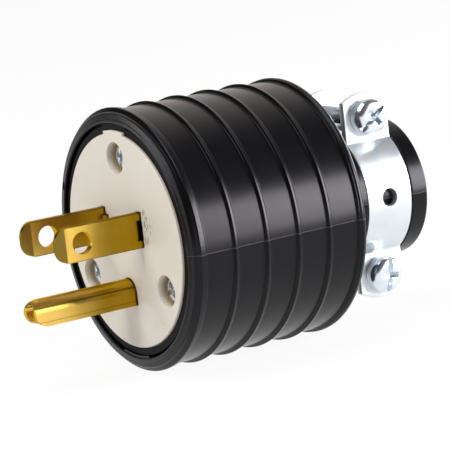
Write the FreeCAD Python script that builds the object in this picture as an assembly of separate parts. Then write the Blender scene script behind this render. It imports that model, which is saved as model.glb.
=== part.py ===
import FreeCAD
import Part

import math
import os

# Grounded mains plug with two flat blades and a bent ground pin, a ribbed round body and a cord clamp
# of two straps. Millimetres. The plug's axis is X: the contacts point to -X and the cord leaves at +X.
# +Z is up, with the ground pin below the blades. The origin is the centre of the front face.

# Flat blades
blade_spacing = 12.7
blade_width = 6.35
blade_thickness = 1.52
blade_reach = 17.5
blade_lift = 2.66
blade_hole_diameter = 3.96
blade_hole_from_face = 12.2
blade_corner_radius = 2.75
blade_bevel_length = 2.0
blade_bevel_depth = 0.45
stake_height = 3.7
stake_offset = 0.9
stake_in_front = 1.1
stake_behind = 2.2
blade_shoulder_width = 9.4
shoulder_length = 2.0
tang_behind_screw = 4.2

# Ground pin, a sheet bent to an arch that is open underneath
pin_drop = 11.89
pin_reach = 20.6
pin_width = 4.76
pin_wall = 0.95
pin_wing_width = 9.2

# Face plate
face_thickness = 5.5
face_edge_chamfer = 0.15
face_tab_rise = 0.55
face_tab_half_angle = 9.6
face_tab_depth = 1.6

# Face screws, the wells they sit in and the posts they bite
screw_first_angle = 91.0
well_diameter = 5.8
well_depth = 3.3
well_rim = 1.55
face_screw_head_diameter = 5.3
face_screw_head_height = 2.0
face_screw_diameter = 3.5
face_screw_grip = 9.0
post_diameter = 7.4

# Terminal block behind the face plate
flange_thickness = 3.5
core_length = 10.5
barrier_reach = 6.5
barrier_thickness = 1.2

# Terminal screws and the plates that clamp the wires
terminal_behind_flange = 5.2
terminal_screw_diameter = 3.2
terminal_head_diameter = 6.0
terminal_head_height = 1.9
terminal_screw_bite = 3.0
wire_plate_length = 7.6
wire_plate_thickness = 1.0
wire_plate_lip = 0.7

# Inner housing, a cup that holds face plate and block
housing_radius = 21.1
housing_wall = 2.5
housing_rim_width = 1.3
housing_setback = 0.45
housing_length = 32.95
housing_floor = 2.4
cord_hole_diameter = 19.0
ridge_from_face = 25.0
ridge_width = 2.4
ridge_height = 0.5
key_half_angle = 10.5
key_centre_angle = 90.5
index_notch_angle = 25.0
index_notch_width = 1.3
index_notch_depth = 1.1

# Outer shell: lip, beads and rear edge
shell_wall = 2.6
shell_length = 36.9
lip_gap = 0.5
lip_gap_depth = 2.2
lip_face_width = 1.2
lip_step_depth = 0.4
lip_edge_radius = 0.3
lip_length = 1.0
bead_count = 6
bead_first = 1.78
bead_height = 0.6
bead_flank = 0.5
bead_tail = 0.9
rear_groove_width = 0.5
rear_groove_depth = 0.2
rear_edge_radius = 1.2
stop_centre_angle = -87.2
stop_half_angle = 7.0

# Neck of the shell
waist_radius = 11.9
collar_rise = 1.4
neck_length = 22.1
neck_bore_diameter = 17.0
neck_edge_radius = 0.5
neck_mouth_chamfer = 0.8
neck_root_radius = 0.8

# Cord clamp
strap_width = 9.9
strap_thickness = 1.3
strap_from_neck_end = 8.8
strap_side_gap = 0.15
strap_bend_radius = 1.4
front_ear_offset = 7.35
back_ear_offset = 4.85
ear_reach = 19.6
ear_end_radius = 9.6
strap_hole_diameter = 3.3
clamp_screw_spacing = 30.12
clamp_screw_diameter = 3.5
clamp_screw_past_ear = 4.0
clamp_head_diameter = 7.1
clamp_head_height = 2.8
ear_collar_wall = 0.75
ear_collar_height = 1.4
upper_slot_angle = 39.0
lower_slot_angle = 80.0

# Screw heads: shares of the head's diameter or height
head_top_share = 0.66
head_wall_share = 0.42
slot_width_share = 0.15
slot_depth_share = 0.34
cross_length_share = 0.54
cross_depth_share = 0.5
tip_chamfer_share = 0.15

# Clearances
sliding_clearance = 0.1
loose_clearance = 0.2
screw_end_clearance = 1.0
overrun = 1.0

# Sizes worked out from the values above
blade_offset = blade_spacing / 2
half_blade = blade_thickness / 2
core_half_width = blade_offset - half_blade
pin_radius = pin_width / 2
pin_height = blade_lift - pin_drop
pin_top = pin_height + pin_radius
pin_bottom = pin_height - pin_radius
shoulder_back = face_thickness + shoulder_length
flange_back = face_thickness + flange_thickness
block_back = flange_back + core_length
terminal_x = flange_back + terminal_behind_flange
tang_end = terminal_x + tang_behind_screw
wire_plate_half = blade_width / 2 + sliding_clearance + wire_plate_thickness
barrier_top = blade_lift - wire_plate_half - loose_clearance
core_top = blade_lift + wire_plate_half + loose_clearance + barrier_thickness
housing_bore = housing_radius - housing_wall
housing_seat_radius = housing_radius - housing_rim_width
face_radius = housing_seat_radius - sliding_clearance
screw_circle_radius = face_radius - well_rim - well_diameter / 2
housing_back = housing_setback + housing_length
housing_floor_front = housing_back - housing_floor
lip_inner_radius = housing_radius + lip_gap
shell_radius = housing_radius + shell_wall
bead_radius = shell_radius + bead_height
last_crest = shell_length - rear_edge_radius - rear_groove_width
bead_pitch = (last_crest - bead_first) / (bead_count - 1)
collar_radius = waist_radius + collar_rise
neck_end = shell_length + neck_length
neck_bore_radius = neck_bore_diameter / 2
strap_x = neck_end - strap_from_neck_end
clamp_screw_height = clamp_screw_spacing / 2

ORIGIN = FreeCAD.Vector(0, 0, 0)
X_AXIS = FreeCAD.Vector(1, 0, 0)
Y_AXIS = FreeCAD.Vector(0, 1, 0)
Z_AXIS = FreeCAD.Vector(0, 0, 1)


def box(x0, x1, y0, y1, z0, z1):
    """Box between pairs of coordinates, given in either order."""
    corner = FreeCAD.Vector(min(x0, x1), min(y0, y1), min(z0, z1))
    return Part.makeBox(abs(x1 - x0), abs(y1 - y0), abs(z1 - z0), corner)


def rod(radius, start, end):
    """Cylinder from one point to another."""
    along = end - start
    return Part.makeCylinder(radius, along.Length, start, along)


def rod_x(radius, x0, x1, y=0.0, z=0.0):
    return rod(radius, FreeCAD.Vector(x0, y, z), FreeCAD.Vector(x1, y, z))


def rod_y(radius, y0, y1, x, z):
    return rod(radius, FreeCAD.Vector(x, y0, z), FreeCAD.Vector(x, y1, z))


def rod_z(radius, z0, z1, x, y=0.0):
    return rod(radius, FreeCAD.Vector(x, y, z0), FreeCAD.Vector(x, y, z1))


class Outline:
    """Closed outline of lines and arcs, drawn point by point in the plane that place maps to."""

    def __init__(self, place, a, b):
        self.place = place
        self.first = place(a, b)
        self.last = self.first
        self.edges = []

    def line(self, a, b):
        end = self.place(a, b)
        self.edges.append(Part.LineSegment(self.last, end).toShape())
        self.last = end
        return self

    def arc(self, mid, end):
        end = self.place(*end)
        self.edges.append(Part.Arc(self.last, self.place(*mid), end).toShape())
        self.last = end
        return self

    def face(self):
        closing = Part.LineSegment(self.last, self.first).toShape()
        return Part.Face(Part.Wire(self.edges + [closing]))


def in_xz(x, z):
    return FreeCAD.Vector(x, 0, z)


def in_yz(y, z):
    return FreeCAD.Vector(0, y, z)


def polar(radius, degrees):
    """Y and Z of a point at an angle from +Y, turning towards +Z."""
    angle = math.radians(degrees)
    return radius * math.cos(angle), radius * math.sin(angle)


def slice_of(shape, centre_angle, half_angle):
    """The part of a round shape that lies between two angles about X."""
    far = 3 * bead_radius
    outline = Outline(in_yz, 0, 0)
    outline.line(*polar(far, centre_angle - half_angle)).line(*polar(far, centre_angle + half_angle))
    prism = outline.face().extrude(X_AXIS * 2 * neck_end)
    prism.translate(X_AXIS * -neck_end)
    return shape.common(prism)


def tube(outer, inner, x0, x1):
    return rod_x(outer, x0, x1).cut(rod_x(inner, x0 - overrun, x1 + overrun))


def face_screw_places():
    """Y and Z of the three face screws."""
    return [polar(screw_circle_radius, screw_first_angle + turn) for turn in (0, 120, 240)]


def aim(shape, direction, place):
    """Turn a shape drawn along +Z to point along direction, then move it to place."""
    aimed = shape.copy()
    aimed.Placement = FreeCAD.Placement(place, FreeCAD.Rotation(Z_AXIS, direction))
    return aimed


# Screws

def driver_recess(head_diameter, head_height, slot_angle):
    """Combination recess, a long slot and a deeper short cross, with the head's top at z = 0."""
    half_slot = head_diameter * slot_width_share / 2
    half_cross = head_diameter * cross_length_share / 2
    slot_floor = -head_height * slot_depth_share
    cross_floor = -head_height * cross_depth_share
    slot = box(-head_diameter, head_diameter, -half_slot, half_slot, slot_floor, overrun)
    bar = box(-half_cross, half_cross, -half_slot, half_slot, cross_floor, overrun)
    crossbar = box(-half_slot, half_slot, -half_cross, half_cross, cross_floor, overrun)
    recess = slot.fuse([bar, crossbar])
    recess.rotate(ORIGIN, Z_AXIS, slot_angle)
    return recess


def screw(head_diameter, head_height, shank_diameter, shank_length, slot_angle=0.0):
    """Pan-head screw along Z with the head's underside at z = 0 and the shank below it."""
    edge = head_diameter / 2
    top = edge * head_top_share
    wall = head_height * head_wall_share
    neck = shank_diameter / 2
    bevel = shank_diameter * tip_chamfer_share
    outline = Outline(in_xz, 0, -shank_length)
    outline.line(neck - bevel, -shank_length).line(neck, bevel - shank_length).line(neck, 0)
    outline.line(edge, 0).line(edge, wall)
    outline.arc((top + (edge - top) * math.sqrt(0.5), wall + (head_height - wall) * math.sqrt(0.5)),
                (top, head_height))
    outline.line(0, head_height)
    solid = outline.face().revolve(ORIGIN, Z_AXIS, 360)
    recess = driver_recess(head_diameter, head_height, slot_angle)
    recess.translate(Z_AXIS * head_height)
    return solid.cut(recess)


# Contacts

def blade(side):
    """Flat blade on the side +1 or -1 of the axis, with a staked offset at its root and a tang."""
    middle = side * blade_offset
    low = blade_lift - blade_width / 2
    high = blade_lift + blade_width / 2
    tip = -blade_reach
    r = blade_corner_radius
    k = r * (1 - math.sqrt(0.5))
    outline = Outline(in_xz, tang_end, low)
    outline.line(tip + r, low).arc((tip + k, low + k), (tip, low + r))
    outline.line(tip, high - r).arc((tip + k, high - k), (tip + r, high))
    outline.line(tang_end, high)
    strip = outline.face().extrude(Y_AXIS * blade_thickness)
    strip.translate(Y_AXIS * (middle - half_blade))
    half_shoulder = blade_shoulder_width / 2
    shoulders = box(face_thickness, shoulder_back, middle - half_blade, middle + half_blade,
                    blade_lift - half_shoulder, blade_lift + half_shoulder)
    # The stake shifts a short length of the strip towards the axis by part of its thickness.
    inner = middle - side * half_blade
    outer = middle + side * half_blade
    shift = side * stake_offset
    raised = box(-stake_in_front, stake_behind, inner, inner - shift,
                 blade_lift - stake_height / 2, blade_lift + stake_height / 2)
    sunk = box(-stake_in_front, stake_behind, outer, outer - shift,
               blade_lift - stake_height / 2, blade_lift + stake_height / 2)
    wall = 2 * blade_thickness
    cuts = [sunk,
            rod_y(blade_hole_diameter / 2, middle - wall, middle + wall, -blade_hole_from_face, blade_lift),
            rod_y(terminal_screw_diameter / 2, middle - wall, middle + wall, terminal_x, blade_lift)]
    cuts += [tip_bevel(middle + face * half_blade, face) for face in (-1, 1)]
    return strip.fuse([shoulders, raised]).cut(cuts).removeSplitter()


def tip_bevel(surface, outward):
    """Cutter for the lead-in bevel on one side of a blade's tip."""
    tip = -blade_reach
    floor = surface - outward * blade_bevel_depth
    outline = Outline(lambda x, y: FreeCAD.Vector(x, y, blade_lift - blade_width), tip - overrun, surface)
    outline.line(tip - overrun, floor).line(tip, floor).line(tip + blade_bevel_length, surface)
    return outline.face().extrude(Z_AXIS * 2 * blade_width)


def arch(grow, legs_end):
    """Section of the ground pin, grown outwards by grow, with its legs cut level at legs_end."""
    r = pin_radius + grow
    outline = Outline(in_yz, -r, legs_end)
    outline.line(-r, pin_height).arc((0, pin_height + r), (r, pin_height)).line(r, legs_end)
    return outline.face()


def ground_pin():
    """Ground pin: a bent arch with a round nose, wings behind the face plate and a screw tongue."""
    length = X_AXIS * (pin_reach + shoulder_back)
    pin = arch(0, pin_bottom).extrude(length).cut(arch(-pin_wall, pin_bottom - overrun).extrude(length))
    pin.translate(X_AXIS * -pin_reach)
    nose_x = pin_radius - pin_reach
    side_view = rod_y(pin_radius, -pin_width, pin_width, nose_x, pin_height)
    side_view = side_view.fuse(box(nose_x, shoulder_back, -pin_width, pin_width, pin_bottom, pin_top))
    under = pin_top - pin_wall
    wings = box(face_thickness, shoulder_back, -pin_wing_width / 2, pin_wing_width / 2, under, pin_top)
    tongue = box(face_thickness, tang_end, -blade_width / 2, blade_width / 2, under, pin_top)
    tapped = rod_z(terminal_screw_diameter / 2, under - overrun, pin_top + overrun, terminal_x)
    return pin.common(side_view).fuse([wings, tongue]).cut(tapped).removeSplitter()


# Terminals

def terminal_screw(outward, place, contact_thickness):
    """Terminal screw through its wire plate and contact, from the contact's outer surface at place."""
    length = wire_plate_thickness + contact_thickness + terminal_screw_bite
    shape = screw(terminal_head_diameter, terminal_head_height, terminal_screw_diameter, length)
    return aim(shape, outward, place + outward * wire_plate_thickness)


def wire_plate(outward, place):
    """Plate that clamps a wire, with two lips that straddle the contact and stop it turning."""
    half_length = wire_plate_length / 2
    inside = wire_plate_half - wire_plate_thickness
    plate = box(-half_length, half_length, -wire_plate_half, wire_plate_half, 0, wire_plate_thickness)
    lips = [box(-half_length, half_length, side * inside, side * wire_plate_half, -wire_plate_lip,
                wire_plate_thickness) for side in (-1, 1)]
    hole = Part.makeCylinder(terminal_screw_diameter / 2 + sliding_clearance, 2 * wire_plate_thickness)
    return aim(plate.fuse(lips).cut(hole).removeSplitter(), outward, place)


# Mouldings inside the body

def face_plate():
    """Front plate with blade slots, pin hole, three screw wells and a locating tab."""
    plate = rod_x(face_radius, 0, face_thickness)
    front_edge = [edge for edge in plate.Edges if edge.Closed and edge.BoundBox.XMax < overrun]
    plate = plate.makeChamfer(face_edge_chamfer, front_edge)
    tab = slice_of(tube(face_radius + face_tab_rise, face_radius - overrun, 0, face_tab_depth),
                   screw_first_angle, face_tab_half_angle)
    c = sliding_clearance
    cuts = [arch(c, pin_bottom - c).extrude(X_AXIS * (face_thickness + 2 * overrun))]
    cuts[0].translate(X_AXIS * -overrun)
    for side in (-1, 1):
        middle = side * blade_offset
        stake_side = middle - side * (half_blade + stake_offset + c)
        cuts.append(box(-overrun, face_thickness + overrun, middle - half_blade - c,
                        middle + half_blade + c, blade_lift - blade_width / 2 - c,
                        blade_lift + blade_width / 2 + c))
        cuts.append(box(-overrun, stake_behind + c, middle, stake_side,
                        blade_lift - stake_height / 2 - c, blade_lift + stake_height / 2 + c))
    for y, z in face_screw_places():
        cuts.append(rod_x(well_diameter / 2, -overrun, well_depth, y, z))
        cuts.append(rod_x(face_screw_diameter / 2 + c, 0, face_thickness + overrun, y, z))
    return plate.fuse(tab).cut(cuts).removeSplitter()


def terminal_block():
    """Block that traps the contacts, keeps the three terminals apart and clears the screw posts."""
    c = sliding_clearance
    front = face_thickness - overrun
    through = flange_back + overrun
    flange = rod_x(housing_bore - loose_clearance, face_thickness, flange_back)
    core = box(flange_back - overrun, block_back, -core_half_width, core_half_width, pin_top, core_top)
    barriers = [box(flange_back - overrun, block_back, side * (core_half_width - overrun),
                    side * (core_half_width + barrier_reach), top - barrier_thickness, top)
                for side in (-1, 1) for top in (barrier_top, core_top)]
    cuts = []
    for side in (-1, 1):
        inner = side * (blade_offset - half_blade)
        outer = side * (blade_offset + half_blade + c)
        half_shoulder = blade_shoulder_width / 2 + c
        half_strip = blade_width / 2 + c
        hole_floor = side * (core_half_width - terminal_screw_bite - screw_end_clearance)
        cuts += [box(front, shoulder_back, inner, outer, blade_lift - half_shoulder,
                     blade_lift + half_shoulder),
                 box(front, through, inner, outer, blade_lift - half_strip, blade_lift + half_strip),
                 rod_y(terminal_screw_diameter / 2 + c, hole_floor, side * (core_half_width + c),
                       terminal_x, blade_lift)]
    tongue_floor = pin_top - pin_wall - c
    half_wings = pin_wing_width / 2 + c
    half_tongue = blade_width / 2 + c
    cuts += [box(front, shoulder_back, -pin_radius - c, pin_radius + c, pin_bottom - c, pin_top),
             box(front, shoulder_back, -half_wings, half_wings, tongue_floor, pin_top),
             box(front, through, -half_tongue, half_tongue, tongue_floor, pin_top),
             rod_z(terminal_screw_diameter / 2 + c, pin_top - c,
                   pin_top + terminal_screw_bite + screw_end_clearance, terminal_x)]
    for y, z in face_screw_places():
        cuts.append(rod_x(face_screw_diameter / 2 + c, front, through, y, z))
        cuts.append(rod_x(post_diameter / 2 + loose_clearance, flange_back, block_back + overrun, y, z))
    return flange.fuse([core] + barriers).cut(cuts).removeSplitter()


def inner_housing():
    """Cup round the terminals: a ledge for the face plate, three screw posts and a cord hole."""
    r = housing_radius
    ridge_end = ridge_from_face + ridge_width
    outline = Outline(in_xz, housing_setback, housing_seat_radius)
    outline.line(face_thickness, housing_seat_radius).line(face_thickness, housing_bore)
    outline.line(housing_floor_front, housing_bore)
    outline.line(housing_floor_front, cord_hole_diameter / 2).line(housing_back, cord_hole_diameter / 2)
    outline.line(housing_back, r).line(ridge_end, r).line(ridge_end, r + ridge_height)
    outline.line(ridge_end - ridge_height, r + ridge_height).line(ridge_from_face, r)
    outline.line(housing_setback, r)
    cup = outline.face().revolve(ORIGIN, X_AXIS, 360)
    key = slice_of(tube(r + lip_gap - sliding_clearance, r - overrun, housing_setback,
                        lip_gap_depth - sliding_clearance), key_centre_angle, key_half_angle)
    posts = [rod_x(post_diameter / 2, flange_back, housing_floor_front + overrun, y, z)
             for y, z in face_screw_places()]
    pilots = [rod_x(face_screw_diameter / 2, face_thickness,
                    flange_back + face_screw_grip + screw_end_clearance, y, z)
              for y, z in face_screw_places()]
    slot_half_angle = face_tab_half_angle + math.degrees(sliding_clearance / face_radius)
    tab_slot = slice_of(rod_x(face_radius + face_tab_rise + sliding_clearance, 0,
                              face_tab_depth + sliding_clearance), screw_first_angle, slot_half_angle)
    return cup.fuse(posts + [key]).cut(pilots + [tab_slot, index_notch()]).removeSplitter()


def index_notch():
    """Small notch across the joint between housing and shell, cut in both."""
    outer = housing_radius + index_notch_depth - sliding_clearance
    inner = housing_radius - loose_clearance
    notch = box(-overrun, lip_gap_depth, inner, outer, -index_notch_width / 2, index_notch_width / 2)
    notch.rotate(ORIGIN, X_AXIS, index_notch_angle)
    return notch


# Outer shell

def outer_shell():
    """Moulded body: stepped lip, shallow beads, rounded rear edge and the waisted neck."""
    outline = Outline(in_xz, 0, lip_inner_radius)
    draw_lip(outline)
    draw_beads(outline)
    draw_neck(outline)
    draw_bore(outline)
    shell = outline.face().revolve(ORIGIN, X_AXIS, 360)
    stop = slice_of(tube(lip_inner_radius + overrun, housing_radius + sliding_clearance, 0, lip_gap_depth),
                    stop_centre_angle, stop_half_angle)
    return shell.fuse(stop).cut(index_notch()).removeSplitter()


def draw_lip(outline):
    """Front face, its step and the rounded outer edge of the lip."""
    r = bead_radius
    e = lip_edge_radius
    k = e * (1 - math.sqrt(0.5))
    step_radius = lip_inner_radius + lip_face_width
    outline.line(0, step_radius).line(lip_step_depth, step_radius).line(lip_step_depth, r - e)
    outline.arc((lip_step_depth + k, r - k), (lip_step_depth + e, r))
    outline.line(lip_length, r)


def draw_beads(outline):
    """Narrow sharp beads with a steep front flank. A fine groove parts the last from the rear edge."""
    for i in range(bead_count):
        x = bead_first + i * bead_pitch
        outline.line(x - bead_flank, shell_radius).line(x, bead_radius)
        if i < bead_count - 1:
            outline.line(x + bead_tail, shell_radius)
    outline.line(last_crest + rear_groove_width / 2, bead_radius - rear_groove_depth)
    e = rear_edge_radius
    k = e * (1 - math.sqrt(0.5))
    outline.line(shell_length - e, bead_radius)
    outline.arc((shell_length - k, bead_radius - k), (shell_length, bead_radius - e))


def draw_neck(outline):
    """Front collar, waist for the clamp and end collar, down to the mouth of the cord bore."""
    k = neck_root_radius * (1 - math.sqrt(0.5))
    outline.line(shell_length, collar_radius + neck_root_radius)
    outline.arc((shell_length + k, collar_radius + k), (shell_length + neck_root_radius, collar_radius))
    waist_front = strap_x - strap_width / 2 - strap_side_gap
    waist_back = strap_x + strap_width / 2 + strap_side_gap
    e = neck_edge_radius
    k = e * (1 - math.sqrt(0.5))
    outline.line(waist_front, collar_radius).line(waist_front, waist_radius)
    outline.line(waist_back, waist_radius).line(waist_back, collar_radius)
    outline.line(neck_end - e, collar_radius)
    outline.arc((neck_end - k, collar_radius - k), (neck_end, collar_radius - e))
    outline.line(neck_end, neck_bore_radius + neck_mouth_chamfer)
    outline.line(neck_end - neck_mouth_chamfer, neck_bore_radius)


def draw_bore(outline):
    """Cord bore, back wall and the bore that holds the housing, with the groove for its ridge."""
    r = housing_radius
    ridge_end = ridge_from_face + ridge_width
    outline.line(housing_back, neck_bore_radius).line(housing_back, r).line(ridge_end, r)
    outline.line(ridge_end, r + ridge_height).line(ridge_end - ridge_height, r + ridge_height)
    outline.line(ridge_from_face, r).line(lip_gap_depth, r).line(lip_gap_depth, lip_inner_radius)


# Cord clamp

def strap_section(ear_offset):
    """Section of a strap: an arch round the waist between two bends and two flat ears, on +Y."""
    half = strap_thickness / 2
    arch_radius = waist_radius + half
    reach = arch_radius + strap_bend_radius
    bend_y = ear_offset + strap_bend_radius
    bend_z = math.sqrt(reach ** 2 - bend_y ** 2)
    inward = math.atan2(-bend_z, -bend_y) + 2 * math.pi
    halfway = (math.pi + inward) / 2

    def on_bend(radius, angle, side):
        return bend_y + radius * math.cos(angle), side * (bend_z + radius * math.sin(angle))

    outline = Outline(in_yz, ear_offset + half, -ear_reach)
    tight = strap_bend_radius - half
    wide = strap_bend_radius + half
    outline.line(*on_bend(tight, math.pi, -1))
    outline.arc(on_bend(tight, halfway, -1), on_bend(tight, inward, -1))
    outline.arc((arch_radius + half, 0), on_bend(tight, inward, 1))
    outline.arc(on_bend(tight, halfway, 1), on_bend(tight, math.pi, 1))
    outline.line(ear_offset + half, ear_reach).line(ear_offset - half, ear_reach)
    outline.line(*on_bend(wide, math.pi, 1))
    outline.arc(on_bend(wide, halfway, 1), on_bend(wide, inward, 1))
    outline.arc((arch_radius - half, 0), on_bend(wide, inward, -1))
    outline.arc(on_bend(wide, halfway, -1), on_bend(wide, math.pi, -1))
    outline.line(ear_offset - half, -ear_reach)
    return outline.face()


def strap(ear_offset, hole_diameter, has_collars):
    """Clamp strap on the +Y side, with rounded ear ends and, on the tapped one, drawn collars."""
    sheet = strap_section(ear_offset).extrude(X_AXIS * strap_width)
    sheet.translate(X_AXIS * (strap_x - strap_width / 2))
    deep = 2 * collar_radius
    end_z = ear_reach - ear_end_radius
    plan = box(strap_x - strap_width, strap_x + strap_width, 0, deep, -end_z, end_z)
    plan = plan.fuse([rod_y(ear_end_radius, 0, deep, strap_x, side * end_z) for side in (-1, 1)])
    sheet = sheet.common(plan)
    cuts = [rod_y(strap_hole_diameter / 2, 0, deep, strap_x, 0)]
    ear_back = ear_offset + strap_thickness / 2
    for side in (-1, 1):
        z = side * clamp_screw_height
        if has_collars:
            collar = rod_y(hole_diameter / 2 + ear_collar_wall, ear_back - strap_thickness / 2,
                           ear_back + ear_collar_height, strap_x, z)
            sheet = sheet.fuse(collar)
        cuts.append(rod_y(hole_diameter / 2, 0, deep, strap_x, z))
    return sheet.cut(cuts).removeSplitter()


def clamp_strap_front():
    """Strap on the near side, with clearance holes under the screw heads."""
    shape = strap(front_ear_offset, clamp_screw_diameter + 2 * sliding_clearance, False)
    shape.rotate(ORIGIN, X_AXIS, 180)
    return shape


def clamp_strap_back():
    """Strap on the far side, tapped for the two clamp screws."""
    return strap(back_ear_offset, clamp_screw_diameter, True)


def clamp_screw(side, slot_angle):
    """Clamp screw above (+1) or below (-1) the neck, from the front ear through the back one."""
    front = front_ear_offset + strap_thickness / 2
    back = back_ear_offset + strap_thickness / 2
    shape = screw(clamp_head_diameter, clamp_head_height, clamp_screw_diameter,
                  front + back + clamp_screw_past_ear, slot_angle)
    return aim(shape, Y_AXIS * -1, FreeCAD.Vector(strap_x, -front, side * clamp_screw_height))


def face_screw(place, slot_angle):
    """Screw from its well in the face plate through the block into a post of the housing."""
    y, z = place
    shape = screw(face_screw_head_diameter, face_screw_head_height, face_screw_diameter,
                  flange_back + face_screw_grip - well_depth, slot_angle)
    return aim(shape, X_AXIS * -1, FreeCAD.Vector(well_depth, y, z))


# Every piece as its own solid
hot_side = FreeCAD.Vector(terminal_x, blade_offset + half_blade, blade_lift)
neutral_side = FreeCAD.Vector(terminal_x, -blade_offset - half_blade, blade_lift)
ground_side = FreeCAD.Vector(terminal_x, 0, pin_top - pin_wall)
top_place, left_place, right_place = face_screw_places()

nodes = {
    "outer_shell": outer_shell(),
    "inner_housing": inner_housing(),
    "face_plate": face_plate(),
    "terminal_block": terminal_block(),
    "blade_hot": blade(1),
    "blade_neutral": blade(-1),
    "ground_pin": ground_pin(),
    "wire_plate_hot": wire_plate(Y_AXIS, hot_side),
    "wire_plate_neutral": wire_plate(Y_AXIS * -1, neutral_side),
    "wire_plate_ground": wire_plate(Z_AXIS * -1, ground_side),
    "terminal_screw_hot": terminal_screw(Y_AXIS, hot_side, blade_thickness),
    "terminal_screw_neutral": terminal_screw(Y_AXIS * -1, neutral_side, blade_thickness),
    "terminal_screw_ground": terminal_screw(Z_AXIS * -1, ground_side, pin_wall),
    "face_screw_top": face_screw(top_place, 70.0),
    "face_screw_left": face_screw(left_place, 25.0),
    "face_screw_right": face_screw(right_place, 120.0),
    "clamp_strap_front": clamp_strap_front(),
    "clamp_strap_back": clamp_strap_back(),
    "clamp_screw_top": clamp_screw(1, upper_slot_angle),
    "clamp_screw_bottom": clamp_screw(-1, lower_slot_angle),
}

os.makedirs("parts", exist_ok=True)
for name, shape in nodes.items():
    shape.exportStep("parts/" + name + ".step")
    print(name, "solids", len(shape.Solids), "volume", round(shape.Volume, 1), "valid", shape.isValid())
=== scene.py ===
# %% [markdown]
# # A grounded mains plug
# The plug has a ribbed rubber body, a cream front plate, brass contacts and a zinc-plated cord clamp.
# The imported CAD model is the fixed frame: it gives every size and place. This script dresses it. Some
# pieces are rebuilt finely where light shows every facet, others are softened copies of the CAD mesh.

import math

import bmesh
import bpy
from mathutils import Matrix, Vector


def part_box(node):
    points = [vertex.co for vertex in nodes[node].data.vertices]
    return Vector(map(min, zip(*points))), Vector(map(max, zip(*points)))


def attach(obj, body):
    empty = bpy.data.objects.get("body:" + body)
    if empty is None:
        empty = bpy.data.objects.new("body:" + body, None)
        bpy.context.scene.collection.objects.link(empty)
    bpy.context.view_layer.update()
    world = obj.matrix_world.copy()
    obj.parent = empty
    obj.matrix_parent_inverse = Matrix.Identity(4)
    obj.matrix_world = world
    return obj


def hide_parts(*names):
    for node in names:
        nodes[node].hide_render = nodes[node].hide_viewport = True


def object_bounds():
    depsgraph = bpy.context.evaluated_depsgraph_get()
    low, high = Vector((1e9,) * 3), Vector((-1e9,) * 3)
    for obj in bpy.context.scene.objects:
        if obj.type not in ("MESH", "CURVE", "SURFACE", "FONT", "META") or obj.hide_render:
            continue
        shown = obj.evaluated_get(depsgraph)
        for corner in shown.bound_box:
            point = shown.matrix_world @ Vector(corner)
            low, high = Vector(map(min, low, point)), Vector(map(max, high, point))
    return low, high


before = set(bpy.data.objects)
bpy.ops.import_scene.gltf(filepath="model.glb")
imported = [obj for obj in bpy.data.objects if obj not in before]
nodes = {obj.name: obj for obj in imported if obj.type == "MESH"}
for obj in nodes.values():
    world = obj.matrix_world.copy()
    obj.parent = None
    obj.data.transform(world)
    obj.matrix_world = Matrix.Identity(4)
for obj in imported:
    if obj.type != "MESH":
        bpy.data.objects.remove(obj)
cad_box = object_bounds()
mm = 0.001
print(len(nodes), "CAD nodes loaded")

# %% [markdown]
# ## The view
# The plug was photographed with a long lens, so near and far parts keep almost the same scale. A
# camera is easiest to set from angles: azimuth and elevation say where it stands, and roll tips the
# frame, because the plug lay a little askew. A small shift replaces cropping.

# %% Camera
view_azimuth = math.radians(-31.415)
view_elevation = math.radians(9.686)
view_roll = math.radians(-6.439)
view_distance = 429.94 * mm
view_target = Vector((20 * mm, 0, 0))
lens_length = 186.02
frame_shift = (0.01808, -0.00898)

level_right = Vector((math.cos(view_azimuth), math.sin(view_azimuth), 0))
towards_camera = Vector((math.sin(view_azimuth) * math.cos(view_elevation),
                         -math.cos(view_azimuth) * math.cos(view_elevation),
                         math.sin(view_elevation)))
level_up = towards_camera.cross(level_right)
camera_right = math.cos(view_roll) * level_right + math.sin(view_roll) * level_up
camera_up = math.cos(view_roll) * level_up - math.sin(view_roll) * level_right

camera_data = bpy.data.cameras.new("camera")
camera_data.sensor_fit = "HORIZONTAL"
camera_data.lens = lens_length
camera_data.shift_x, camera_data.shift_y = frame_shift
camera = bpy.data.objects.new("camera", camera_data)
bpy.context.scene.collection.objects.link(camera)
turn = Matrix((camera_right, camera_up, towards_camera)).transposed().to_4x4()
camera.matrix_world = Matrix.Translation(view_target + view_distance * towards_camera) @ turn
bpy.context.scene.camera = camera
bpy.context.scene.view_settings.view_transform = "Standard"
print("camera at", [round(c, 4) for c in camera.location])

# %% [markdown]
# ## Shader maths in plain Python
# A material's pattern is a formula, and a formula is easier to read as Python than as a picture of
# boxes. The small class below wraps one output of a node tree. Its operators add Math nodes, and its
# `node` method adds any other node, for materials and for Geometry Nodes alike.

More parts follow.
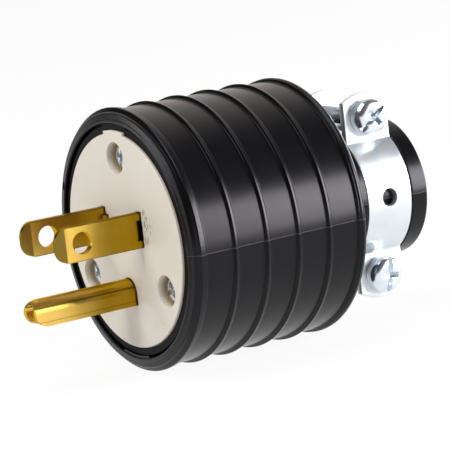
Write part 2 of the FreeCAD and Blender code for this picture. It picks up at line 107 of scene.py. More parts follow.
# %% The formula class
class Formula:
    """An output in a node tree. Arithmetic on it adds Math nodes."""

    def __init__(self, tree, socket=None):
        self.tree = tree
        self.socket = socket

    def node(self, kind, settings=None, inputs=None, output=0):
        """Adds a node: its settings first, then the values or links of its sockets."""
        made = self.tree.nodes.new(kind)
        for name, value in (settings or {}).items():
            setattr(made, name, value)
        for key, value in (inputs or {}).items():
            if isinstance(value, Formula):
                self.tree.links.new(value.socket, made.inputs[key])
            else:
                made.inputs[key].default_value = value
        return Formula(self.tree, made.outputs[output])

    def maths(self, operation, *others):
        """A Math node on this output and the others."""
        return self.node("ShaderNodeMath", {"operation": operation}, dict(enumerate((self, *others))))

    def __add__(self, other):
        return self.maths("ADD", other)

    def __sub__(self, other):
        return self.maths("SUBTRACT", other)

    def __rsub__(self, other):
        return self.maths("MULTIPLY_ADD", -1.0, other)

    def __mul__(self, other):
        return self.maths("MULTIPLY", other)

    def __truediv__(self, other):
        return self.maths("DIVIDE", other)

    def __abs__(self):
        return self.maths("ABSOLUTE")

    __radd__ = __add__
    __rmul__ = __mul__

    def part(self, name):
        """One coordinate of a vector."""
        return self.node("ShaderNodeSeparateXYZ", {}, {0: self}, name)

    def fade(self, start, end):
        """0 up to start, 1 from end on, smooth between them. Start may be the larger."""
        rise = self.node("ShaderNodeMapRange", {"interpolation_type": "SMOOTHSTEP"},
                         {"Value": self, "From Min": min(start, end), "From Max": max(start, end)})
        return rise if start < end else 1.0 - rise

    def mix(self, low, high):
        """Colour between low, where this is 0, and high, where it is 1."""
        return self.node("ShaderNodeMix", {"data_type": "RGBA"}, {0: self, 6: low, 7: high}, 2)


def noise(at, scale, detail=3.0, stretch=(1, 1, 1)):
    """Cloudy pattern between 0 and 1. Stretch above 1 packs it along that axis."""
    place = at.node("ShaderNodeMapping", {}, {"Vector": at, "Scale": stretch})
    return at.node("ShaderNodeTexNoise", {}, {"Vector": place, "Scale": scale, "Detail": detail}, "Fac")

# %% [markdown]
# ## Finishes
# Each finish starts from Object coordinates, which are real metres here, so a grain of half a
# millimetre is a noise of scale 2000. The helper makes a Principled material and hands back the
# coordinates. A colour that changes goes through a mix, and a height goes through one Bump node.

# %% A helper for finishes
def finish(name, metallic=0.0, **constants):
    """New material: returns it, its shader node and its Object coordinates."""
    material = bpy.data.materials.new(name)
    material.use_nodes = True
    tree = material.node_tree
    shader = tree.nodes["Principled BSDF"]
    shader.inputs["Metallic"].default_value = metallic
    for socket, value in constants.items():
        shader.inputs[socket.replace("_", " ")].default_value = value
    coordinates = Formula(tree).node("ShaderNodeTexCoord", {}, {}, "Object")
    return material, shader, coordinates


def feed(shader, socket, formula):
    """Links a formula to a socket of the shader."""
    formula.tree.links.new(formula.socket, shader.inputs[socket])


def emboss(shader, height, depth):
    """Height between 0 and 1 becomes relief of that depth, in metres."""
    feed(shader, "Normal", height.node("ShaderNodeBump", {}, {"Height": height, "Distance": depth}))


def rgba(red, green, blue):
    """An opaque colour."""
    return (red, green, blue, 1.0)

# %% [markdown]
# ## Black rubber
# The body is moulded in two halves. A fine line of flash runs where they met, along both sides, in a
# plane through the axis that stands turned by a degree and a half against the contacts. Its paler
# colour is a painted highlight. Each half leans by its mould's draft of three and a half degrees, so
# the light breaks at the line. A Bump node whose height falls away from the line tips the normals by
# that much without a change of the mesh. The skin is smooth with a faint orange-peel, and handling
# leaves cloudy, slightly duller patches.

# %% Rubber and the parting line
rubber, shader, at = finish("moulded_rubber", Specular_IOR_Level=0.21,
                            Specular_Tint=rgba(0.97, 0.93, 1.0))
clouds = noise(at, 90, 4)
peel = noise(at, 1500, 2)
parting_slope = math.tan(math.radians(1.45))
from_parting = abs(at.part("Z") - parting_slope * at.part("Y"))
parting_line = from_parting.fade(0.12 * mm, 0.04 * mm)
relief = 0.05 * mm
draft = math.tan(math.radians(3.5)) / relief
skin = clouds.mix(rgba(0.003, 0.003, 0.0035), rgba(0.0055, 0.005, 0.0055))
# The paler colour along the parting line is a painted highlight.
feed(shader, "Base Color", parting_line.mix(skin, rgba(0.05, 0.05, 0.05)))
feed(shader, "Roughness", 0.20 + 0.08 * clouds + 0.15 * parting_line)
emboss(shader, 0.06 * peel + parting_line - draft * from_parting, relief)

housing_black, shader, at = finish("moulded_nylon_black", Specular_IOR_Level=0.05)
clouds = noise(at, 160, 3)
feed(shader, "Base Color", clouds.mix(rgba(0.003, 0.0027, 0.0027), rgba(0.005, 0.0045, 0.0045)))
feed(shader, "Roughness", 0.30 + 0.12 * clouds)
emboss(shader, noise(at, 2500, 2), 0.01 * mm)
print("rubber and black nylon")

# %% [markdown]
# ## Cream nylon
# The front plate is a warm off-white. It is never quite even: the moulding has faint clouds, and
# pushing the plug home has rubbed a few grey-brown scuffs into it beside the near blade. Behind the
# front face, as inside the screw wells, the colour turns tan: painted shade.

# %% Cream plate
cream, shader, at = finish("moulded_nylon_cream", Specular_IOR_Level=0.4)
clouds = noise(at, 120, 4)
specks = noise(at, 1500, 5, (1, 1.5, 0.5))
blade_low, blade_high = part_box("blade_neutral")
blade_middle = (blade_low + blade_high) / 2
scuff_y = blade_middle.y - 2.2 * mm
scuff_z = blade_middle.z + 0.5 * mm
scuff_width, scuff_height = 3.4, 5.2
from_scuff = abs(at.part("Y") - scuff_y) / scuff_width + abs(at.part("Z") - scuff_z) / scuff_height
scuffed = from_scuff.fade(1.0 * mm, 0.3 * mm) * specks.fade(0.50, 0.63)
front = clouds.mix(rgba(0.735, 0.685, 0.60), rgba(0.785, 0.735, 0.65))
# Painted shade: tan behind the front face, as inside the screw wells.
front_and_well_shade = at.part("X").fade(0.15 * mm, 1.6 * mm).mix(front, rgba(0.44, 0.35, 0.22))
feed(shader, "Base Color", scuffed.mix(front_and_well_shade, rgba(0.24, 0.17, 0.10)))
feed(shader, "Roughness", 0.42 + 0.12 * clouds)
emboss(shader, noise(at, 1800, 3), 0.012 * mm)
print("cream nylon")

# %% [markdown]
# ## Brass
# The contacts are stamped from rolled brass strip. Rolling and wiping leave fine marks. The colour runs
# along X from bright gold at the tips to olive brown towards the plug, broken up by streaks across the
# strip and by random patches; the darkening towards the plug is a painted reflection. Painted shade
# makes the blade edges, the bevelled tips and two lines along the folds of the ground pin darkest, and
# a painted shadow darkens the roots in the plate.

# %% Brass contacts
brass, shader, at = finish("rolled_brass", metallic=1.0, Specular_Tint=rgba(0.80, 0.58, 0.22))
along, height = at.part("X"), at.part("Z")
streaks = noise(at, 60, 4, (60, 1, 3))
patches = noise(at, 180, 3)
# Painted reflection: the colour darkens from the tips towards the plug, mixed with random patches.
reflection_and_patches = along.fade(-4 * mm, -17 * mm) * 0.75 + patches * 0.35 - 0.1
tone = (reflection_and_patches + 0.12 * (streaks - 0.5)).maths("MAXIMUM", 0.0).maths("MINIMUM", 1.0)
reflection_and_patch_colour = tone.mix(rgba(0.41, 0.24, 0.003), rgba(0.86, 0.57, 0.14))
on_blade = height.fade(-3 * mm, -2 * mm)
bevel_end = blade_low.x + 2 * mm
# Painted shade on the bevelled tips of the blades.
bevel_shade = along.fade(bevel_end + 0.1 * mm, bevel_end - 0.1 * mm) * on_blade
upper_line, lower_line = -8.2 * mm, -10.8 * mm
# Painted shade: two dark lines along the folds of the ground pin.
fold_shade_lines = (abs(height - upper_line).fade(0.22 * mm, 0.08 * mm) * 0.8
               + abs(height - lower_line).fade(0.12 * mm, 0.04 * mm) * 0.5)
# Painted shadow where the contacts enter the plate.
root = along.fade(-0.55 * mm, -0.2 * mm)
blade_width = 6.35 * mm
# Painted shade along the long edges of the blades.
edge_shade = abs(height - blade_middle.z).fade(blade_width / 2 - 0.2 * mm, blade_width / 2 - 0.08 * mm)
# The painted shade and shadow marks together darken the brass towards olive brown.
dark = (fold_shade_lines + root + 0.7 * edge_shade * on_blade).maths("MAXIMUM", 0.75 * bevel_shade)
feed(shader, "Base Color", dark.mix(reflection_and_patch_colour, rgba(0.09, 0.055, 0.004)))
feed(shader, "Roughness", 0.28 + 0.08 * streaks)
emboss(shader, streaks, 0.0015 * mm)
print("brass")

# %% [markdown]
# ## Zinc plate and screw steel
# Zinc plate on the straps has a pale, satin bloom: part metal, part matt film, so its Metallic stays
# below one. A screw head is rolled and polished, so it is less rough, mirrors more and has a bluer
# tint.

# %% Zinc, steel and green paint
zinc, shader, at = finish("zinc_plate", metallic=0.8)
bloom = noise(at, 260, 4)
feed(shader, "Base Color", bloom.mix(rgba(0.64, 0.69, 0.73), rgba(0.78, 0.81, 0.84)))
feed(shader, "Roughness", 0.26 + 0.14 * bloom)
emboss(shader, noise(at, 900, 3, (1, 1, 4)), 0.003 * mm)

screw_steel, shader, at = finish("zinc_screw", metallic=0.92)
bloom = noise(at, 700, 3)
feed(shader, "Base Color", bloom.mix(rgba(0.66, 0.75, 0.84), rgba(0.90, 0.93, 0.96)))
feed(shader, "Roughness", 0.12 + 0.12 * bloom)
emboss(shader, bloom, 0.004 * mm)

green_paint, shader, at = finish("green_screw", Specular_IOR_Level=0.5)
feed(shader, "Base Color", noise(at, 900).mix(rgba(0.02, 0.20, 0.07), rgba(0.04, 0.30, 0.11)))
feed(shader, "Roughness", 0.3 + 0.1 * noise(at, 600))
print("zinc, screw steel and green paint")

# %% [markdown]
# ## Turning a profile with Geometry Nodes
# The body is round, so one half section says everything. The node tree below spins a line of points
# round the X axis: it lays a grid with one row for each point of the profile and one column for each
# step of the turn, and moves each grid point to where the turned profile point would be. Profiles
# are short lists of corners, and each corner may carry a fillet radius.

# %% Corners with fillets
def rounded(corners, steps=4):
    """Points of an outline. A corner is (x, radius) or (x, radius, fillet), in millimetres."""
    points = []
    count = len(corners)
    for i, corner in enumerate(corners):
        here = Vector(corner[:2])
        fillet = corner[2] if len(corner) > 2 else 0.0
        if fillet == 0.0:
            points.append(here)
            continue
        before = (Vector(corners[i - 1][:2]) - here).normalized()
        after = (Vector(corners[(i + 1) % count][:2]) - here).normalized()
        half_angle = before.angle(after) / 2
        centre = here + (before + after).normalized() * fillet / math.sin(half_angle)
        first = here + before * fillet / math.tan(half_angle) - centre
        last = here + after * fillet / math.tan(half_angle) - centre
        sweep = math.atan2(first.x * last.y - first.y * last.x, first.dot(last))
        for step in range(steps + 1):
            points.append(centre + Matrix.Rotation(sweep * step / steps, 2) @ first)
    return points

# %% The turning tree
def new_tree(name, sockets):
    """Geometry tree with named inputs after the geometry: returns it and a starting formula."""
    tree = bpy.data.node_groups.new(name, "GeometryNodeTree")
    tree.interface.new_socket("Geometry", in_out="INPUT", socket_type="NodeSocketGeometry")
    for socket_name, kind in sockets:
        tree.interface.new_socket(socket_name, in_out="INPUT", socket_type=kind)
    tree.interface.new_socket("Geometry", in_out="OUTPUT", socket_type="NodeSocketGeometry")
    group_input = tree.nodes.new("NodeGroupInput")
    inputs = {socket.name: Formula(tree, socket) for socket in group_input.outputs if socket.name}
    return tree, inputs


def end_tree(geometry):
    """Sends a geometry out of its tree."""
    output = geometry.tree.nodes.new("NodeGroupOutput")
    geometry.tree.links.new(geometry.socket, output.inputs[0])


def turned(profile, segments, joint=1e-7):
    """Mesh of a profile, points with x along the axis and z as radius, turned round X.

    Joint is the distance below which points merge, in the profile's own unit.
    """
    count = profile.node("GeometryNodeAttributeDomainSize", {"component": "MESH"}, {0: profile},
                         "Point Count")
    grid = profile.node("GeometryNodeMeshGrid", {}, {"Vertices X": segments + 1.0, "Vertices Y": count})
    index = profile.node("GeometryNodeInputIndex")
    column = ((index + 0.5) / count).maths("FLOOR")
    row = index - column * count
    position = profile.node("GeometryNodeInputPosition")
    point = profile.node("GeometryNodeSampleIndex", {"data_type": "FLOAT_VECTOR", "domain": "POINT"},
                         {"Geometry": profile, "Value": position, "Index": row})
    angle = column * (2 * math.pi) / segments
    radius = point.part("Z")
    spun = profile.node("ShaderNodeCombineXYZ", {}, {"X": point.part("X"),
                        "Y": radius * angle.maths("COSINE"), "Z": radius * angle.maths("SINE")})
    moved = profile.node("GeometryNodeSetPosition", {}, {"Geometry": grid, "Position": spun})
    return profile.node("GeometryNodeMergeByDistance", {}, {"Geometry": moved, "Distance": joint})


turning_tree, given = new_tree("turned_profile", [
    ("Segments", "NodeSocketInt"), ("Material", "NodeSocketMaterial")])
whole = turned(given["Geometry"], given["Segments"])
real = whole.node("GeometryNodeRealizeInstances", {}, {"Geometry": whole})
end_tree(real.node("GeometryNodeSetMaterial", {}, {"Geometry": real, "Material": given["Material"]}))
print("turning tree with", len(turning_tree.nodes), "nodes")

# %% [markdown]
# A tree's result becomes a plain mesh before the piece is painted and hung on the root body. The same
# helper joins edges, turns every face outwards and gives flat faces their own shading, so that a
# narrow fillet catches the light while the wide face beside it stays calm.

# %% From a tree to a finished piece
def mesh_object(name, vertices, faces=()):
    """New object of points and faces."""
    mesh = bpy.data.meshes.new(name)
    mesh.from_pydata(vertices, [], faces)
    made = bpy.data.objects.new(name, mesh)
    bpy.context.scene.collection.objects.link(made)
    return made


def run_tree(source, tree, values):
    """Runs a tree on an object with its named inputs set, and keeps the result as its mesh."""
    modifier = source.modifiers.new("tree", "NODES")
    modifier.node_group = tree
    for item in tree.interface.items_tree:
        if item.in_out == "INPUT" and item.name in values:
            modifier[item.identifier] = values[item.name]
    keep_result(source)


def keep_result(source):
    """Replaces an object's mesh by what its modifiers make of it, and drops the modifiers."""
    bpy.context.view_layer.update()
    evaluated = source.evaluated_get(bpy.context.evaluated_depsgraph_get())
    mesh = bpy.data.meshes.new_from_object(evaluated)
    source.modifiers.clear()
    source.data = mesh


def tidy_mesh(source):
    """Merges doubles and turns faces outwards."""
    work = bmesh.new()
    work.from_mesh(source.data)
    bmesh.ops.remove_doubles(work, verts=work.verts, dist=1e-7)
    bmesh.ops.recalc_face_normals(work, faces=work.faces)
    work.to_mesh(source.data)
    work.free()


def round_edges(source, width, segments, sharp_above):
    """Bevels the edges that are sharper than an angle in degrees."""
    edges = source.modifiers.new("edges", "BEVEL")
    edges.width = width
    edges.segments = segments
    edges.limit_method = "ANGLE"
    edges.angle_limit = math.radians(sharp_above)
    keep_result(source)


def shade(source, sharp_above=35):
    """Smooth shading with wide faces kept calm beside narrow ones."""
    source.data.shade_smooth()
    source.data.set_sharp_from_angle(angle=math.radians(sharp_above))
    weighted = source.modifiers.new("calm", "WEIGHTED_NORMAL")
    weighted.keep_sharp = True
    weighted.weight = 100
    keep_result(source)


def paint(piece, material):
    """Makes a material the piece's only one."""
    piece.data.materials.clear()
    piece.data.materials.append(material)


def done(piece, slot, material, *replaced):
    """Paints a finished piece, hangs it on the root body and hides the CAD nodes it replaces."""
    paint(piece, material)
    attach(piece, "root")
    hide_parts(*replaced)
    print(piece.name, len(piece.data.polygons), "faces")

# %% [markdown]
# ## The ribbed body
# The body's half section has a stepped lip, six narrow beads, a rounded rear edge behind a fine groove,
# and the neck with a waist for the clamp. A bead's steep front flank mirrors the dark band before it,
# so it looks black, and the small fillet on its crest catches a thin bright line. The fillets matter
# more than the steps themselves. The piece replaces the CAD shell, whose facets would show.

# %% Body profile
shell_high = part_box("outer_shell")[1]
crest_radius = shell_high.z / mm
neck_end = shell_high.x / mm
bead_height = 0.6
band_radius = crest_radius - bead_height
body_length = 36.9
housing_radius = 21.1
lip_inner = 21.6
lip_step_radius = 22.3
lip_ring_radius = 23.4
lip_ring_length = 0.85
lip_length = 1.2
bead_count = 6
bead_first = 1.78
last_crest = 35.2
bead_flank = 0.28
bead_land = 0.6
bead_tail = 1.0
waist_radius = 11.9
collar_radius = 13.3
strap_low, strap_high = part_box("clamp_strap_front")
waist_front = strap_low.x / mm - 0.15
waist_back = strap_high.x / mm + 0.15
neck_bore = 8.5
back_wall = 33.4
gap_depth = 2.2

body_corners = [(-0.15, lip_inner, 0.25), (0, lip_step_radius, 0.1),
                (0.12, lip_step_radius + 0.08, 0.04), (0.3, lip_ring_radius, 0.25),
                (lip_ring_length, lip_ring_radius + 0.1, 0.1), (lip_length, crest_radius, 0.3)]
for i in range(bead_count):
    crest = bead_first + i * (last_crest - bead_first) / (bead_count - 1)
    if i > 0:
        body_corners += [(crest - bead_flank, band_radius, 0.12), (crest, crest_radius, 0.13)]
    if i < bead_count - 1:
        body_corners += [(crest + bead_land, crest_radius - 0.17, 0.3),
                         (crest + bead_tail, band_radius, 0.25)]
body_corners += [(last_crest + 0.25, crest_radius - 0.2, 0.05), (last_crest + 0.5, crest_radius, 0.12),
                 (body_length, crest_radius, 1.1), (body_length, collar_radius, 0.8),
                 (waist_front, collar_radius, 0.25), (waist_front, waist_radius, 0.15),
                 (waist_back, waist_radius, 0.15), (waist_back, collar_radius, 0.25),
                 (neck_end, collar_radius, 0.5), (neck_end, neck_bore, 0.8), (back_wall, neck_bore),
                 (back_wall, housing_radius), (gap_depth, housing_radius), (gap_depth, lip_inner)]
outline = rounded(body_corners)
outline.append(outline[0])
body = mesh_object("ribbed_body", [(p.x * mm, 0, p.y * mm) for p in outline])
run_tree(body, turning_tree, {"Segments": 240, "Material": rubber})
tidy_mesh(body)
print("body profile of", len(outline), "points")

# %% [markdown]
# Two small features break the roundness of the lip: a stop that fills the gap under the housing at
# the bottom, and a square index notch at the left. The stop is a short turned arc joined to the
# body, and the notch is cut with a Boolean modifier, as the insert of a mould would leave it.

# %% Stop and notch
def sector_faces(inner, outer, x0, x1, centre, half, steps=12):
    """Closed block between two radii and two angles round X, in millimetres and degrees."""
    rings = []
    for step in range(steps + 1):
        angle = math.radians(centre - half + 2 * half * step / steps)
        c, s = math.cos(angle), math.sin(angle)
        rings.append([(x * mm, r * c * mm, r * s * mm) for x, r in
                      ((x0, inner), (x0, outer), (x1, outer), (x1, inner))])
    vertices = [v for ring in rings for v in ring]
    faces = [(4 * k + a, 4 * k + (a + 1) % 4, 4 * k + 4 + (a + 1) % 4, 4 * k + 4 + a)
             for k in range(steps) for a in range(4)]
    faces += [(3, 2, 1, 0), tuple(4 * steps + a for a in range(4))]
    return vertices, faces


def join_into(target, vertices, faces):
    """Adds closed faces to an object's mesh."""
    extra = bpy.data.meshes.new("extra")
    extra.from_pydata(vertices, [], faces)
    work = bmesh.new()
    work.from_mesh(target.data)
    work.from_mesh(extra)
    bmesh.ops.recalc_face_normals(work, faces=work.faces)
    work.to_mesh(target.data)
    work.free()
    bpy.data.meshes.remove(extra)


def cut(target, cutter):
    """Boolean difference, kept as the target's mesh. The cutter is removed."""
    modifier = target.modifiers.new("cut", "BOOLEAN")
    modifier.operation = "DIFFERENCE"
    modifier.solver = "EXACT"
    modifier.object = cutter
    keep_result(target)
    bpy.data.objects.remove(cutter)


stop = sector_faces(inner=housing_radius + 0.1, outer=lip_inner + 0.3, x0=0.12, x1=2.0,
                    centre=-88.7, half=11.8)
join_into(body, *stop)
notch = mesh_object("notch", *sector_faces(inner=21.9, outer=22.9, x0=-0.5, x1=1.2,
                                           centre=22.5, half=1.9, steps=2))
tidy_mesh(notch)
cut(body, notch)
shade(body)
done(body, "black_rubber", rubber, "outer_shell")

# %% [markdown]
# ## Softened copies of the CAD mouldings and stampings
# Plate, housing, blades and pin already have the right shape, but a CAD edge is a knife edge, and
# only a rounded edge shows a highlight. So each gets a copy whose loose triangles are joined, whose
# flat faces are merged, and whose edges are rounded by a Bevel modifier.

# %% Softened copies
def softened(node, name, width, slot, material):
    """A copy of a CAD node with its flat faces merged and its edges rounded."""
    copy = nodes[node].copy()
    copy.data = nodes[node].data.copy()
    for key in list(copy.keys()):
        del copy[key]
    copy.parent = None
    copy.name = name
    bpy.context.scene.collection.objects.link(copy)
    work = bmesh.new()
    work.from_mesh(copy.data)
    bmesh.ops.remove_doubles(work, verts=work.verts, dist=1e-6)
    bmesh.ops.dissolve_limit(work, angle_limit=math.radians(0.3), verts=work.verts, edges=work.edges)
    work.to_mesh(copy.data)
    work.free()
    round_edges(copy, width, segments=2, sharp_above=30)
    shade(copy, sharp_above=50)
    done(copy, slot, material, node)


moulded_edge = 0.12 * mm
stamped_edge = 0.05 * mm
softened("face_plate", "front_plate", moulded_edge, "cream_nylon", cream)
softened("inner_housing", "housing_cup", moulded_edge, "black_nylon", housing_black)
softened("blade_hot", "far_blade", stamped_edge, "brass", brass)
softened("blade_neutral", "near_blade", stamped_edge, "brass", brass)
softened("ground_pin", "earth_pin", stamped_edge, "brass", brass)

# %% [markdown]
# ## The clamp straps: cut the blank flat, then bend it
# A strap starts as a flat blank with rounded ends and three punched holes, and is bent over a former.
# The script does the same. A grid of quads is the blank: its end rows follow the ear's arc, and round
# each hole the square cells are eased onto a circle. Each point then moves to its place on the bent
# path: an arch round the neck, a tight bend, and a flat ear. Solidify gives the sheet its thickness.

# %% The bent path
sheet = 1.3
bend_radius = 1.4
arch_middle = -strap_low.y / mm - sheet / 2
ear_reach = strap_high.z / mm
ear_end_radius = 9.6
strap_x = (strap_low.x + strap_high.x) / 2
half_width = (strap_high.x - strap_low.x) / mm / 2
screw_low, screw_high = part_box("clamp_screw_top")
screw_z = (screw_low.z + screw_high.z) / 2 / mm


def bent_path(ear_offset):
    """Path of the sheet's middle as s -> (y, z), and where its ear starts, in s and in z."""
    reach = arch_middle + bend_radius
    bend_y = ear_offset + bend_radius
    bend_z = math.sqrt(reach ** 2 - bend_y ** 2)
    arch_angle = math.atan2(bend_z, bend_y)
    arch_length = arch_middle * arch_angle
    bend_length = bend_radius * arch_angle
    ear_start = arch_length + bend_length

    def place(s):
        side = 1 if s >= 0 else -1
        run = abs(s)
        if run < arch_length:
            angle = run / arch_middle
            return arch_middle * math.cos(angle), side * arch_middle * math.sin(angle)
        if run < ear_start:
            angle = math.pi + arch_angle - (run - arch_length) / bend_radius
            return (bend_y + bend_radius * math.cos(angle),
                    side * (bend_z + bend_radius * math.sin(angle)))
        return ear_offset, side * (bend_z + run - ear_start)

    return place, ear_start, bend_z

# %% The blank, cut flat
blank_rows = 150
blank_columns = 34
cell = 2 * half_width / blank_columns
plain_past_screw = 2.6
middle_hole_radius = 1.65


def end_arc(x):
    """How far the ear's arc lies inside its farthest point, at a place across the sheet."""
    return ear_end_radius - math.sqrt(ear_end_radius ** 2 - x ** 2)


def blank(s_end, screw_s):
    """Points (s, x) of a flat grid. The rows past the screw stretch out to the ear's arc."""
    s_cut = s_end - end_arc(half_width)
    plain_until = screw_s + plain_past_screw
    points = []
    for i in range(blank_rows + 1):
        for j in range(blank_columns + 1):
            x = -half_width + cell * j
            s = -s_cut + 2 * s_cut * i / blank_rows
            stretch = max(0.0, (abs(s) - plain_until) / (s_cut - plain_until))
            s += math.copysign(stretch * (s_end - end_arc(x) - s_cut), s)
            points.append((s, x))
    return points


def punched(points, holes):
    """Quads of the grid without the cells whose middle lies in a hole, given as (s, radius)."""
    faces = []
    for i in range(blank_rows):
        for j in range(blank_columns):
            a = i * (blank_columns + 1) + j
            corners = (a, a + 1, a + blank_columns + 2, a + blank_columns + 1)
            middle_s = sum(points[c][0] for c in corners) / 4
            middle_x = sum(points[c][1] for c in corners) / 4
            if not any(math.hypot(middle_s - hole_s, middle_x) < radius for hole_s, radius in holes):
                faces.append(corners)
    return faces


def rim_vertices(faces):
    """Vertices on open edges of a sheet."""
    count = {}
    for corners in faces:
        for a, b in zip(corners, corners[1:] + corners[:1]):
            key = (min(a, b), max(a, b))
            count[key] = count.get(key, 0) + 1
    return {v for edge, uses in count.items() if uses == 1 for v in edge}


def eased(points, holes, rim):
    """The points, with those on a hole's rim moved onto its circle."""
    moved = []
    for index, (s, x) in enumerate(points):
        for hole_s, radius in holes:
            distance = math.hypot(s - hole_s, x)
            if index in rim and distance < radius + 1.5 * cell:
                s, x = hole_s + (s - hole_s) * radius / distance, x * radius / distance
        moved.append((s, x))
    return moved

# %% The strap, bent
def strap(name, node, side, hole_radius):
    """One strap on the side -1 (near) or +1 (far), with its holes."""
    low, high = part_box(node)
    nearest = min(abs(low.y), abs(high.y)) / mm
    place, ear_start, bend_z = bent_path(nearest + sheet / 2)
    screw_s = ear_start + screw_z - bend_z
    holes = [(0.0, middle_hole_radius), (screw_s, hole_radius), (-screw_s, hole_radius)]
    s_end = ear_start + ear_reach - bend_z
    print(name, "has a blank", round(2 * s_end, 1), "mm long")
    points = blank(s_end, screw_s)
    faces = punched(points, holes)
    bent = []
    for s, x in eased(points, holes, rim_vertices(faces)):
        y, z = place(s)
        bent.append((strap_x + x * mm, side * y * mm, z * mm))
    piece = mesh_object(name, bent, faces)
    tidy_mesh(piece)
    work = bmesh.new()
    work.from_mesh(piece.data)
    bmesh.ops.delete(work, geom=[v for v in work.verts if not v.link_faces], context="VERTS")
    work.to_mesh(piece.data)
    work.free()
    solid = piece.modifiers.new("sheet", "SOLIDIFY")
    solid.thickness = sheet * mm
    solid.offset = 0
    solid.use_even_offset = True
    round_edges(piece, 0.13 * mm, segments=3, sharp_above=50)
    tidy_mesh(piece)
    shade(piece)
    done(piece, "zinc_steel", zinc, node)


strap("near_clamp_strap", "clamp_strap_front", -1, 1.85)
strap("far_clamp_strap", "clamp_strap_back", 1, 1.75)

# %% [markdown]
# ## Screws with Geometry Nodes
# Screws of one kind differ only in place, aim and how far they were turned. So one tree turns the
# head and shank from a profile, cuts the driver recess with three boxes, and puts a copy on each point
# of a small mesh of places, whose points carry an aim and a turn. The slot shares its side walls with
# one arm of the cross. It is cut last, because in another order the head was left with a gap.

# %% The screw tree
screw_tree, given = new_tree("screws", [
    ("Segments", "NodeSocketInt"),
    ("Head Diameter", "NodeSocketFloat"), ("Head Height", "NodeSocketFloat"),
    ("Slot Width", "NodeSocketFloat"), ("Slot Depth", "NodeSocketFloat"),
    ("Cross Length", "NodeSocketFloat"), ("Cross Depth", "NodeSocketFloat"),
    ("Places", "NodeSocketObject"), ("Material", "NodeSocketMaterial")])
start = given["Geometry"]


def recess_box(length, width, depth):
    """Cutting box whose floor lies depth below the head's top."""
    size = start.node("ShaderNodeCombineXYZ", {}, {"X": 2 * depth, "Y": length, "Z": width})
    cube = start.node("GeometryNodeMeshCube", {}, {"Size": size})
    at_top = start.node("ShaderNodeCombineXYZ", {}, {"X": given["Head Height"]})
    return start.node("GeometryNodeTransform", {}, {"Geometry": cube, "Translation": at_top})


pan = turned(start, given["Segments"], joint=1e-4)
slot_box = recess_box(given["Head Diameter"] * 2.0, given["Slot Width"], given["Slot Depth"])
long_arm = recess_box(given["Cross Length"], given["Slot Width"], given["Cross Depth"])
short_arm = recess_box(given["Slot Width"], given["Cross Length"], given["Cross Depth"])
for cutter in (long_arm, short_arm, slot_box):
    pan = start.node("GeometryNodeMeshBoolean", {"operation": "DIFFERENCE", "solver": "EXACT"},
                     {"Mesh 1": pan, "Mesh 2": cutter})
places = start.node("GeometryNodeObjectInfo", {"transform_space": "ORIGINAL"},
                    {"Object": given["Places"]}, "Geometry")
aim = start.node("GeometryNodeInputNamedAttribute", {"data_type": "FLOAT_VECTOR"}, {"Name": "aim"})
spin = start.node("GeometryNodeInputNamedAttribute", {"data_type": "FLOAT"}, {"Name": "spin"})
aligned = start.node("FunctionNodeAlignRotationToVector", {"axis": "X"}, {"Vector": aim})
about_shank = start.node("ShaderNodeCombineXYZ", {}, {"X": spin})
turn_by = start.node("FunctionNodeEulerToRotation", {}, {"Euler": about_shank})
rotation = start.node("FunctionNodeRotateRotation", {"rotation_space": "LOCAL"},
                      {"Rotation": aligned, "Rotate By": turn_by})
copies = start.node("GeometryNodeInstanceOnPoints", {}, {"Points": places, "Instance": pan,
                    "Rotation": rotation, "Scale": (mm, mm, mm)})
real = start.node("GeometryNodeRealizeInstances", {}, {"Geometry": copies})
end_tree(real.node("GeometryNodeSetMaterial", {}, {"Geometry": real, "Material": given["Material"]}))
print("screw tree with", len(screw_tree.nodes), "nodes")

# %% Clamp and plate screws
def screws(name, head_diameter, head_height, shank_diameter, shank_length, settings, slot, replaced):
    """Screws of one kind. Settings lists (place, aim, turn in degrees) for each."""
    edge = head_diameter / 2
    shank = shank_diameter / 2
    corners = [(-shank_length, 0), (-shank_length, shank, 0.4), (0, shank), (0, edge, 0.15),
               (head_height, edge, head_height * 0.55), (head_height, 0)]
    source = mesh_object(name, [(p.x, 0, p.y) for p in rounded(corners, steps=8)])
    where = mesh_object(name + "_places", [place for place, aim, spin in settings])
    for attribute, kind in (("aim", "FLOAT_VECTOR"), ("spin", "FLOAT")):
        where.data.attributes.new(attribute, kind, "POINT")
    for i, (place, aim, spin) in enumerate(settings):
        where.data.attributes["aim"].data[i].vector = aim
        where.data.attributes["spin"].data[i].value = math.radians(spin)
    run_tree(source, screw_tree, {
        "Segments": 64, "Head Diameter": head_diameter, "Head Height": head_height,
        "Slot Width": head_diameter * 0.15, "Slot Depth": head_height * 0.34,
        "Cross Length": head_diameter * 0.54, "Cross Depth": head_height * 0.5,
        "Places": where, "Material": screw_steel})
    bpy.data.objects.remove(where)
    tidy_mesh(source)
    round_edges(source, 0.06 * mm, segments=2, sharp_above=50)
    shade(source, sharp_above=50)
    done(source, slot, screw_steel, *replaced)


clamp_head_height = 2.8
clamp_settings = []
for node, spin in (("clamp_screw_top", 39.0), ("clamp_screw_bottom", 80.0)):
    low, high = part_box(node)
    centre = (low + high) / 2
    clamp_settings.append(((centre.x, low.y + clamp_head_height * mm, centre.z), (0, -1, 0), spin))
clamp_length = (high.y - low.y) / mm - clamp_head_height
screws("clamp_screws", head_diameter=7.1, head_height=clamp_head_height, shank_diameter=3.5,
       shank_length=clamp_length, settings=clamp_settings, slot="zinc_steel",
       replaced=("clamp_screw_top", "clamp_screw_bottom"))

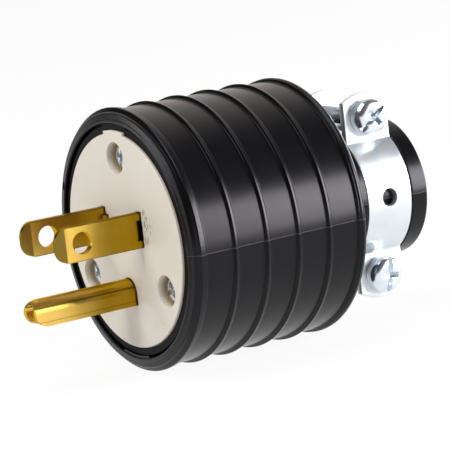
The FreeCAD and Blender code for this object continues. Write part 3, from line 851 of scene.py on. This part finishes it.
plate_head_height = 2.0
plate_settings = []
plate_nodes = (("face_screw_top", 70.0), ("face_screw_left", 25.0), ("face_screw_right", 120.0))
for node, spin in plate_nodes:
    low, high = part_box(node)
    centre = (low + high) / 2
    plate_settings.append(((low.x + plate_head_height * mm, centre.y, centre.z), (-1, 0, 0), spin))
plate_length = (high.x - low.x) / mm - plate_head_height
screws("plate_screws", head_diameter=5.3, head_height=plate_head_height, shank_diameter=3.5,
       shank_length=plate_length, settings=plate_settings, slot="zinc_steel",
       replaced=tuple(node for node, spin in plate_nodes))

# %% [markdown]
# ## Pieces deep inside
# The terminal block, its screws and its wire plates are hidden by the body. Their CAD meshes are
# fine as they are, so each only gets its finish on its material slot.

# %% Finishes for the inner pieces
inner_finishes = {"terminal_block": cream, "wire_plate_hot": brass, "wire_plate_neutral": zinc,
                  "wire_plate_ground": zinc, "terminal_screw_hot": brass,
                  "terminal_screw_neutral": screw_steel, "terminal_screw_ground": green_paint}
for node, material in inner_finishes.items():
    paint(nodes[node], material)
print(len(inner_finishes), "inner pieces finished")

# %% [markdown]
# ## Floor, backdrop and light
# The photo's ground is plain white. A wide floor lies under the lowest bead. To the camera and to
# mirrors it glows by itself, so that it stays white while the soft shadow still shows.

# %% Floor
def seen_directly(start):
    """1 for rays that show the background: straight, mirrored or through glass."""
    camera_ray, glossy_ray, transmission_ray = [
        start.node("ShaderNodeLightPath", {}, {}, name)
        for name in ("Is Camera Ray", "Is Glossy Ray", "Is Transmission Ray")]
    return camera_ray.maths("MAXIMUM", glossy_ray.maths("MAXIMUM", transmission_ray))


floor_size = 4.0
floor_z = cad_box[0][2] - 0.02 * mm
corner = floor_size / 2
floor = mesh_object("floor", [(-corner, -corner, floor_z), (corner, -corner, floor_z),
                              (corner, corner, floor_z), (-corner, corner, floor_z)], [(0, 1, 2, 3)])
paper = bpy.data.materials.new("white_paper")
paper.use_nodes = True
tree = paper.node_tree
tree.nodes.clear()
seen = seen_directly(Formula(tree))
matt = seen.node("ShaderNodeBsdfDiffuse", {}, {"Color": rgba(0.88, 0.88, 0.88)})
glow = seen.node("ShaderNodeEmission", {}, {"Color": rgba(1, 1, 1), "Strength": 1.0})
surface = seen.node("ShaderNodeMixShader", {}, {0: 0.93 * seen, 1: matt, 2: glow})
output = tree.nodes.new("ShaderNodeOutputMaterial")
tree.links.new(surface.socket, output.inputs["Surface"])
paint(floor, paper)
print("floor at a height of", round(floor_z / mm, 2), "mm")

# %% [markdown]
# Black rubber shows what it mirrors far more than its own colour, so the room round the plug matters
# more than the lamps. The room is dark overhead at the front and at the left, brighter behind, and
# white at the horizon. That gives black bands above, grey bands below and a break between them.

# %% The room
world = bpy.data.worlds.new("studio")
bpy.context.scene.world = world
world.use_nodes = True
tree = world.node_tree
tree.nodes.clear()
direction = Formula(tree).node("ShaderNodeTexCoord", {}, {}, "Generated")
overhead = direction.part("Y").fade(-0.15, 0.6).mix(rgba(0.06, 0.06, 0.065), rgba(0.95, 0.90, 0.86))
sideways = direction.part("X").fade(0.2, -0.35).mix(overhead, rgba(0.02, 0.02, 0.025))
colour = direction.part("Z").fade(0.14, 0.03).mix(sideways, rgba(0.95, 0.95, 0.95))
background = direction.node("ShaderNodeBackground", {}, {"Color": colour, "Strength": 1.0})
output = tree.nodes.new("ShaderNodeOutputWorld")
tree.links.new(background.socket, output.inputs["Surface"])
print("room of", len(tree.nodes), "nodes")

# %% [markdown]
# Each lamp has one task. The two boxes at the right make the tall highlight on the bands. The back box
# lights the rear slopes of the beads and the straps. The top left box lights the front plate evenly
# and draws the crests of the lip, and the small rim box draws the far edge.

# %% Soft boxes
def soft_box(name, place, aim, width, height, power):
    """Rectangular lamp at place, in metres, that faces aim."""
    lamp = bpy.data.lights.new(name, "AREA")
    lamp.shape = "RECTANGLE"
    lamp.size = width
    lamp.size_y = height
    lamp.energy = power
    made = bpy.data.objects.new(name, lamp)
    bpy.context.scene.collection.objects.link(made)
    made.location = place
    made.rotation_euler = (Vector(aim) - Vector(place)).to_track_quat("-Z", "Y").to_euler()


soft_box("right_box", (0.70, -0.57, 0.12), (0.02, 0, 0), 0.64, 0.26, 7.7)
soft_box("right_top_box", (0.70, -0.57, 0.345), (0.02, 0, 0), 0.64, 0.21, 6.2)
soft_box("back_box", (0.95, 0.25, 0.16), (0.02, 0, 0), 0.50, 0.30, 2.8)
soft_box("top_left_box", (-0.42, -0.06, 0.80), (0, 0, 0), 0.66, 0.66, 7.0)
soft_box("rim_box", (-0.62, 0.62, 0.20), (0, 0, 0), 0.30, 0.20, 0.8)
print("lamps set")
